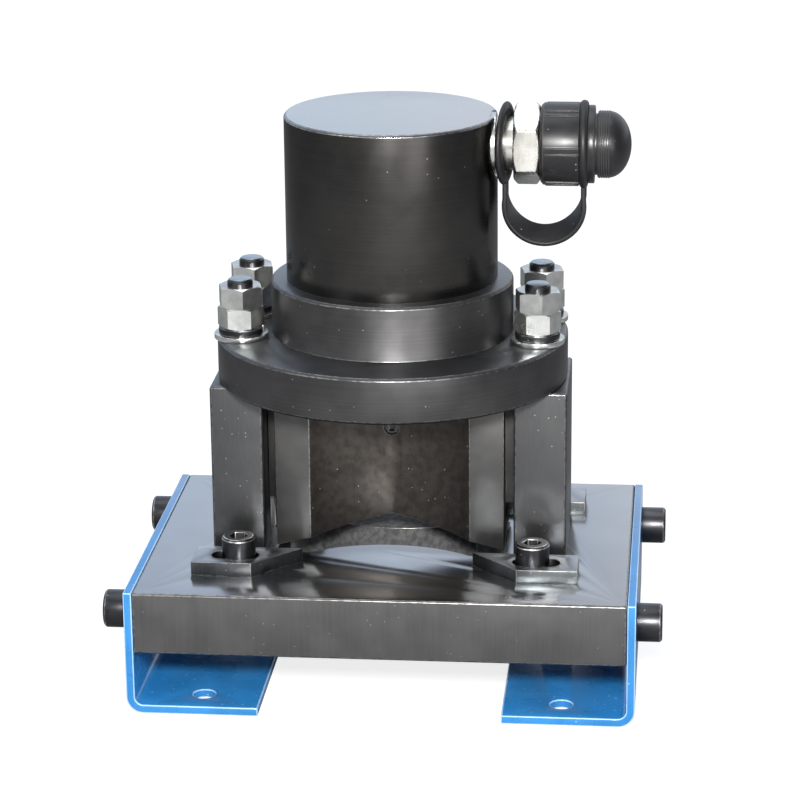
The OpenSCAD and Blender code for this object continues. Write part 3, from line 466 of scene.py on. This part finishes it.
# Fences: four flat bars sawn from dark strip, each with a 45 degree edge and a slot for its clamp
# screw. The sawn ends show the saw's lines.
# Both fence finishes carry a painted pale sky reflection on their tops at low angles.
fence_finish = steel(
    "sawn_fence", (0.085, 0.092, 0.10), (0.15, 0.155, 0.16), (0.26, 0.42),
    lines=(tool_streaks, {"Stretch": (1100.0, 30.0, 30.0)}), line_depth=0.22,
    gleam=((0.86, 0.90, 0.94), 1.8), dust=0.10)
fresh_finish = steel(
    "fresh_sawn_fence", (0.09, 0.10, 0.105), (0.15, 0.16, 0.165), (0.28, 0.42),
    lines=(tool_streaks, {"Stretch": (1100.0, 30.0, 30.0)}), line_depth=0.22,
    gleam=((0.86, 0.90, 0.94), 1.8), dust=0.06)
fence_edge = worn_edge("worn_fence_edge", (0.50, 0.49, 0.46), 0.32)
for fence_node, finish in (
        ("front_left_fence", fence_finish), ("front_right_fence", fresh_finish),
        ("rear_left_fence", fence_finish), ("rear_right_fence", fresh_finish)):
    with_soft_edges(fence_node, fence_node, finish, fence_edge, 0.2 * mm)


# Fence screws: four M10 socket-head screws that clamp the fences, black with bright rubbed rims.
screw_edge = worn_edge("worn_screw_rim", (0.66, 0.64, 0.62), 0.28)
with_soft_edges("fence_screws", "frame", bolt_finish, screw_edge, 0.35 * mm, steps=3)


# Tie studs with their nuts and washers: each stud holds the flange down with a zinc-plated washer,
# a black spring washer and two zinc-plated M12 nuts, and ends in a chamfered thread.
zinc_finish = steel(
    "zinc_plate", (0.62, 0.64, 0.62), (0.80, 0.81, 0.78), (0.18, 0.30),
    lines=(tool_streaks, {"Stretch": (300.0, 300.0, 300.0)}), line_depth=0.04, dust=0.03, patch=160.0)
zinc_edge = worn_edge("worn_zinc_edge", (0.85, 0.85, 0.82), 0.24)
with_soft_edges("flat_washers", "frame", zinc_finish, zinc_edge, 0.3 * mm)
with_soft_edges("spring_washers", "frame", bolt_finish, bolt_edge, 0.3 * mm)


def threaded_stud_ends():
    """The thread that shows above each upper nut, as one helical ridge round a chamfered core."""
    pitch, crest, root = 1.75 * mm, 5.95 * mm, 5.1 * mm
    turns, around = 3, 40
    stud_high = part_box("tie_studs")[1]
    stud_x, stud_y = stud_high.x - 6 * mm, stud_high.y - 6 * mm
    shape = bmesh.new()
    rings = []
    levels = 8 * turns
    for level in range(levels + 1):
        height = level * pitch / 8
        ring = []
        for step in range(around):
            angle = 2 * math.pi * step / around
            phase = (height / pitch - step / around) % 1
            radius = root + (crest - root) * (1 - abs(2 * phase - 1))
            radius = min(radius, crest - max(0.0, height - (turns * pitch - 0.9 * mm)))
            ring.append(shape.verts.new((radius * math.cos(angle), radius * math.sin(angle), height)))
        rings.append(ring)
    for lower, upper in zip(rings, rings[1:]):
        for step in range(around):
            after = (step + 1) % around
            shape.faces.new((lower[step], lower[after], upper[after], upper[step]))
    shape.faces.new(rings[-1])
    shape.faces.new(list(reversed(rings[0])))
    thread = bpy.data.meshes.new("thread")
    shape.to_mesh(thread)
    shape.free()
    joined = bmesh.new()
    for x in (-stud_x, stud_x):
        for y in (-stud_y, stud_y):
            place = Matrix.Translation((x, y, stud_high.z + 0.1 * mm - turns * pitch))
            copy = thread.copy()
            copy.transform(place)
            joined.from_mesh(copy)
    mesh = bpy.data.meshes.new("stud_thread_ends")
    joined.to_mesh(mesh)
    joined.free()
    piece = bpy.data.objects.new("stud_thread_ends", mesh)
    bpy.context.collection.objects.link(piece)
    # The thread's gleam is a painted sky reflection on its top at low angles.
    mesh.materials.append(steel(
        "stud_thread", (0.10, 0.11, 0.12), (0.17, 0.18, 0.19), (0.24, 0.36),
        gleam=((0.75, 0.85, 0.95), 1.4), dust=0.02))
    bpy.ops.object.select_all(action="DESELECT")
    piece.select_set(True)
    bpy.context.view_layer.objects.active = piece
    bpy.ops.object.shade_smooth_by_angle(angle=math.radians(50))
    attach(piece, "frame")


threaded_stud_ends()


# Coupler: a zinc-plated steel quick coupler screwed into the side of the barrel on a bonded seal,
# with a bright neck, a chamfered hexagon and a threaded end under the dust cap.
coupler_finish = steel(
    "plated_coupler", (0.82, 0.80, 0.72), (0.93, 0.92, 0.88), (0.20, 0.32),
    lines=(tool_streaks, {"Stretch": (500.0, 90.0, 90.0)}), line_depth=0.02, dust=0.02, patch=120.0)
with_soft_edges("coupler_body", "frame", coupler_finish, zinc_edge, 0.5 * mm, steps=3)


# Dust cap and strap: moulded black plastic cap with pairs of ribs, a bead, a waist and a domed end
# with fine rings, tied to the coupler's neck by a rubber strap moulded in one with its two rings.
def moulded_black(name, tone, rough, grain_scale, grain_depth):
    material = bpy.data.materials.new(name)
    material.use_nodes = True
    tree = material.node_tree
    shader = tree.nodes["Principled BSDF"]
    place = put(tree, "ShaderNodeTexCoord").outputs["Object"]
    clouds = put(tree, "ShaderNodeTexNoise", {"Vector": place, "Scale": 90.0, "Detail": 4.0})
    lighter = tuple(1.6 * c for c in tone)
    colour = blended(tree, soft_step(tree, clouds.outputs[0], 0.3, 0.7), (*tone, 1), (*lighter, 1))
    specks = put(tree, "ShaderNodeGroup", node_tree=dust_specks)
    specks.inputs["Share"].default_value = 0.04
    colour = blended(tree, specks.outputs[0], colour, (0.3, 0.3, 0.3, 1))
    tree.links.new(colour, shader.inputs["Base Color"])
    dull = put(tree, "ShaderNodeMapRange", {
        "Value": clouds.outputs[0], "From Min": 0.3, "From Max": 0.7,
        "To Min": rough[0], "To Max": rough[1]})
    tree.links.new(dull.outputs[0], shader.inputs["Roughness"])
    grain = put(tree, "ShaderNodeTexNoise", {"Vector": place, "Scale": grain_scale, "Detail": 2.0})
    bump = put(tree, "ShaderNodeBump", {
        "Strength": grain_depth, "Distance": 0.15 * mm, "Height": grain.outputs[0]})
    tree.links.new(bump.outputs[0], shader.inputs["Normal"])
    return material


cap_finish = moulded_black("cap_plastic", (0.009, 0.009, 0.010), (0.27, 0.38), 1600.0, 0.10)
# The bevelled edges of the cap, and the dome rings, take a lighter grey plastic as a painted highlight.
cap_edge_painted_highlight = moulded_black("cap_plastic_edge_painted_highlight", (0.03, 0.03, 0.031), (0.30, 0.42), 1600.0, 0.1)
with_soft_edges("dust_cap", "cap", cap_finish, cap_edge_painted_highlight, 0.3 * mm, steps=3)

strap_finish = moulded_black("strap_rubber", (0.007, 0.007, 0.008), (0.44, 0.56), 900.0, 0.12)


def dome_rings():
    """Five fine rings moulded round the straight part of the cap's dome."""
    cap_low, cap_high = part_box("dust_cap")
    dome_radius = 15.5 * mm
    ring_count, ring_pitch, first_ring_back = 5, 1.1 * mm, 14.7 * mm
    made = []
    for step in range(ring_count):
        bpy.ops.object.select_all(action="DESELECT")
        bpy.ops.mesh.primitive_torus_add(
            major_segments=96, minor_segments=12, major_radius=dome_radius, minor_radius=0.32 * mm,
            location=(cap_high.x - first_ring_back + ring_pitch * step, 0, (cap_low.z + cap_high.z) / 2),
            rotation=(0, math.pi / 2, 0))
        made.append(bpy.context.object)
    for one in made:
        one.select_set(True)
    bpy.ops.object.join()
    rings = bpy.context.object
    rings.name = "dome_rings"
    bpy.ops.object.transform_apply(location=True, rotation=True, scale=True)
    bpy.ops.object.shade_smooth()
    # The rings are in the lighter plastic of the painted edge highlight.
    rings.data.materials.append(cap_edge_painted_highlight)
    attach(rings, "cap")


dome_rings()


def rubber_strap():
    """A flat band hung in a U, twisted a little at the bottom, between two round rings."""
    port_axis_z = (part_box("dust_cap")[0].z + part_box("dust_cap")[1].z) / 2
    neck_x, cap_x = 53.7 * mm, 90.3 * mm
    cap_ring_radius, cap_ring_thick = 20.5 * mm, 3.8 * mm
    band_width, band_thick, lean = 12 * mm, 2.4 * mm, math.radians(40)
    loop_radius = (cap_x - neck_x) / 2
    loop_x = (cap_x + neck_x) / 2
    straight_run = 7.5 * mm
    top_z = port_axis_z - cap_ring_radius + band_thick
    loop_z = top_z - straight_run
    corner = 0.8 * mm
    outline = []
    for sx, sy, start in ((1, 1, 0), (-1, 1, 90), (-1, -1, 180), (1, -1, 270)):
        for part in range(4):
            angle = math.radians(start + 30 * part)
            outline.append((
                sx * (band_width / 2 - corner) + corner * math.cos(angle),
                sy * (band_thick / 2 - corner) + corner * math.sin(angle)))
    shape = bmesh.new()
    steps = 48
    stations = [(Vector((neck_x, 0, top_z)), 0.0, 0.0)]
    for step in range(steps + 1):
        turn = math.pi * step / steps
        middle = Vector((
            loop_x - loop_radius * math.cos(turn), 0, loop_z - loop_radius * math.sin(turn)))
        stations.append((middle, turn, lean * math.sin(turn)))
    stations.append((Vector((cap_x, 0, top_z)), math.pi, 0.0))
    rings = []
    for middle, turn, tilt in stations:
        outward = Vector((-math.cos(turn), 0, -math.sin(turn)))
        across = Vector((-outward.x * math.sin(tilt), math.cos(tilt), -outward.z * math.sin(tilt)))
        face = Vector((outward.x * math.cos(tilt), math.sin(tilt), outward.z * math.cos(tilt)))
        rings.append([shape.verts.new(middle + u * across + v * face) for u, v in outline])
    count = len(outline)
    for first, second in zip(rings, rings[1:]):
        for k in range(count):
            after = (k + 1) % count
            shape.faces.new((first[k], first[after], second[after], second[k]))
    shape.faces.new(list(reversed(rings[0])))
    shape.faces.new(rings[-1])
    bmesh.ops.recalc_face_normals(shape, faces=shape.faces)
    mesh = bpy.data.meshes.new("strap_band")
    shape.to_mesh(mesh)
    shape.free()
    band = bpy.data.objects.new("strap_band", mesh)
    bpy.context.collection.objects.link(band)
    parts = [band]

    def ring(x, outer, inner, thick, turned, name):
        """A moulded ring with a rounded section, standing on the axis of the port."""
        bpy.ops.object.select_all(action="DESELECT")
        bpy.ops.mesh.primitive_torus_add(
            major_segments=96, minor_segments=20, major_radius=(outer + inner) / 2,
            minor_radius=(outer - inner) / 2)
        made = bpy.context.object
        made.name = name
        made.scale = (1, 1, thick / (outer - inner))
        bpy.ops.object.transform_apply(location=False, rotation=False, scale=True)
        made.location = (x, 0, port_axis_z)
        made.rotation_euler = (0, math.pi / 2, turned)
        bpy.ops.object.transform_apply(location=True, rotation=True, scale=False)
        parts.append(made)

    neck_ring_turn = math.radians(-8)
    ring(neck_x, 19.5 * mm, 12.8 * mm, 3.4 * mm, neck_ring_turn, "strap_neck_ring")
    ring(cap_x, cap_ring_radius, 17.3 * mm, cap_ring_thick, 0, "strap_cap_ring")
    bpy.ops.object.select_all(action="DESELECT")
    for part in parts:
        part.select_set(True)
    bpy.context.view_layer.objects.active = band
    bpy.ops.object.join()
    band.name = "moulded_strap"
    band.data.materials.clear()
    band.data.materials.append(strap_finish)
    bpy.ops.object.shade_smooth_by_angle(angle=math.radians(40))
    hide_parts("cap_strap")
    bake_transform(band)


rubber_strap()


# Inner pieces, studs and nuts: the rod, piston, bush, springs, pins, valve and seals hardly show.
# They and the chamfered nuts keep the shapes of the solids, in turned steel, bronze, spring steel,
# zinc, rubber and nylon.
bright_finish = steel(
    "bright_turned", (0.50, 0.50, 0.50), (0.66, 0.66, 0.65), (0.14, 0.26),
    lines=(lathe_lines, {"Lines Per Metre": 2400.0}), line_depth=0.06, dust=0.01)
spring_finish = steel("oiled_spring", (0.14, 0.14, 0.15), (0.22, 0.22, 0.23), (0.25, 0.4), dust=0.01)
bronze_finish = steel(
    "turned_bronze", (0.48, 0.30, 0.12), (0.62, 0.40, 0.18), (0.2, 0.32),
    lines=(lathe_lines, {"Lines Per Metre": 2000.0}), line_depth=0.06, dust=0.01)
rubber_finish = moulded_black("seal_rubber", (0.02, 0.02, 0.02), (0.45, 0.6), 700.0, 0.1)
ring_finish = moulded_black("seal_nylon", (0.32, 0.29, 0.23), (0.4, 0.5), 700.0, 0.05)
for node, finish in {
    "tie_studs": bolt_finish, "column_dowels": bright_finish, "rod": bright_finish,
    "piston": bright_finish, "spring_seat": bright_finish, "coupler_poppet": bright_finish,
    "rod_bush": bronze_finish, "return_spring": spring_finish, "poppet_spring": spring_finish,
    "lower_nuts": zinc_finish, "upper_nuts": zinc_finish, "rod_wiper": rubber_finish,
    "piston_seal": rubber_finish, "piston_o_ring": rubber_finish,
    "backup_ring": ring_finish, "wear_ring": ring_finish, "bonded_seal": zinc_finish,
}.items():
    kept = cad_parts[node]
    kept.data.materials.clear()
    kept.data.materials.append(finish)
